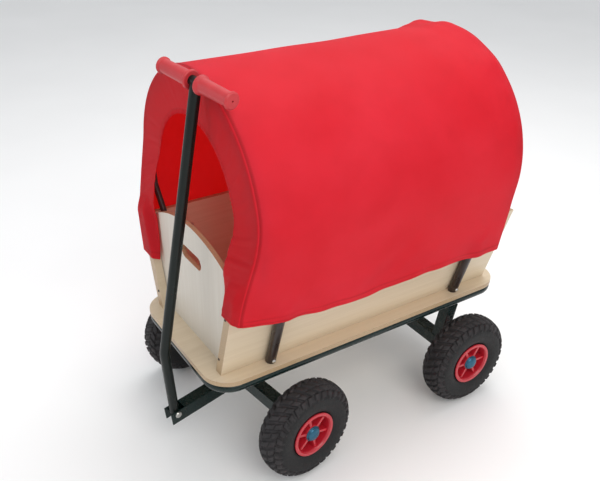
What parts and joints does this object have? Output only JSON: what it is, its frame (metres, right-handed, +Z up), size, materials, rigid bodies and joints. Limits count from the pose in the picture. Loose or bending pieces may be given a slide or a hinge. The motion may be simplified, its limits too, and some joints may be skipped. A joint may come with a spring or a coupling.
{
  "type": "covered hand wagon with pull handle",
  "caption": "Plywood hand wagon with leaning sides, arched cloth cover on hoops, pneumatic wheels, steering front axle and upright pull handle with grips.",
  "frame": {"origin": "on the ground under the middle of the deck board", "axes": "+Z up, -Y towards the front and the pull handle, +X towards the side with the nearer grip when parked"},
  "size_m": [0.6526, 0.9754, 1.0129],
  "materials": {
    "tyre_rubber": "matt black rubber",
    "rim_red": "glossy red moulding",
    "hub_cap_metal": "blue-green tinted metal dome",
    "frame_paint": "glossy dark green-black paint",
    "handle_paint": "glossy dark green-black paint",
    "post_paint": "satin brown-black paint",
    "hoop_paint": "satin dark paint",
    "screw_dark": "dark satin screw heads",
    "zinc_steel": "zinc plated",
    "deck_plywood": "clear varnished plywood",
    "panel_plywood": "clear varnished plywood",
    "batten_plywood": "clear varnished plywood",
    "grip_red": "soft red grip",
    "cover_cloth": "red woven nylon with a slight sheen"
  },
  "bodies": {
    "chassis": {"batten_front_left": "batten_plywood", "batten_front_right": "batten_plywood", "batten_rear_left": "batten_plywood", "batten_rear_right": "batten_plywood", "batten_screws": "screw_dark", "cover_barrel": "cover_cloth", "cover_front_band": "cover_cloth", "cover_rear_band": "cover_cloth", "cross_tube_front": "frame_paint", "cross_tube_middle": "frame_paint", "cross_tube_rear": "frame_paint", "deck_board": "deck_plywood", "frame_ring": "frame_paint", "front_panel": "panel_plywood", "hoop_front": "hoop_paint", "hoop_rear": "hoop_paint", "pivot_plate": "frame_paint", "post_bolts": "zinc_steel", "rear_axle_beam": "frame_paint", "rear_axle_rod": "zinc_steel", "rear_leg_left": "frame_paint", "rear_leg_right": "frame_paint", "rear_panel": "panel_plywood", "side_panel_left": "panel_plywood", "side_panel_right": "panel_plywood", "side_post_front_left": "post_paint", "side_post_front_right": "post_paint", "side_post_rear_left": "post_paint", "side_post_rear_right": "post_paint"},
    "front_axle": {"drawbar": "frame_paint", "front_axle_beam": "frame_paint", "front_axle_rod": "zinc_steel", "handle_pin": "zinc_steel", "kingpin": "zinc_steel", "kingpin_nut": "zinc_steel", "steering_post": "frame_paint", "turntable_plate": "frame_paint"},
    "pull_handle": {"grip_bar": "handle_paint", "grip_left": "grip_red", "grip_right": "grip_red", "hinge_sleeve": "handle_paint", "pull_pole": "handle_paint"},
    "wheel_front_left": {"hub_cap_front_left": "hub_cap_metal", "rim_front_left": "rim_red", "tyre_front_left": "tyre_rubber"},
    "wheel_front_right": {"hub_cap_front_right": "hub_cap_metal", "rim_front_right": "rim_red", "tyre_front_right": "tyre_rubber"},
    "wheel_rear_left": {"hub_cap_rear_left": "hub_cap_metal", "rim_rear_left": "rim_red", "tyre_rear_left": "tyre_rubber"},
    "wheel_rear_right": {"hub_cap_rear_right": "hub_cap_metal", "rim_rear_right": "rim_red", "tyre_rear_right": "tyre_rubber"}
  },
  "joints": [
    {"name": "steering", "type": "hinge", "parent": "chassis", "child": "front_axle", "pos_m": [0, -0.278, 0.2643], "axis": [0, 0, 1], "range_deg": [-40, 3]},
    {"name": "handle_swing", "type": "hinge", "parent": "front_axle", "child": "pull_handle", "pos_m": [0.02632, -0.48634, 0.11407], "axis": [0.9921, 0.1253, 0], "range_deg": [0, 100]},
    {"name": "wheel_spin_front_right", "type": "hinge", "parent": "front_axle", "child": "wheel_front_right", "pos_m": [0.26787, -0.24416, 0.13], "axis": [0.9921, 0.1253, 0], "continuous": true},
    {"name": "wheel_spin_front_left", "type": "hinge", "parent": "front_axle", "child": "wheel_front_left", "pos_m": [-0.26787, -0.31184, 0.13], "axis": [0.9921, 0.1253, 0], "continuous": true},
    {"name": "wheel_spin_rear_right", "type": "hinge", "parent": "chassis", "child": "wheel_rear_right", "pos_m": [0.27, 0.286, 0.13], "axis": [1, 0, 0], "continuous": true},
    {"name": "wheel_spin_rear_left", "type": "hinge", "parent": "chassis", "child": "wheel_rear_left", "pos_m": [-0.27, 0.286, 0.13], "axis": [1, 0, 0], "continuous": true}
  ]
}
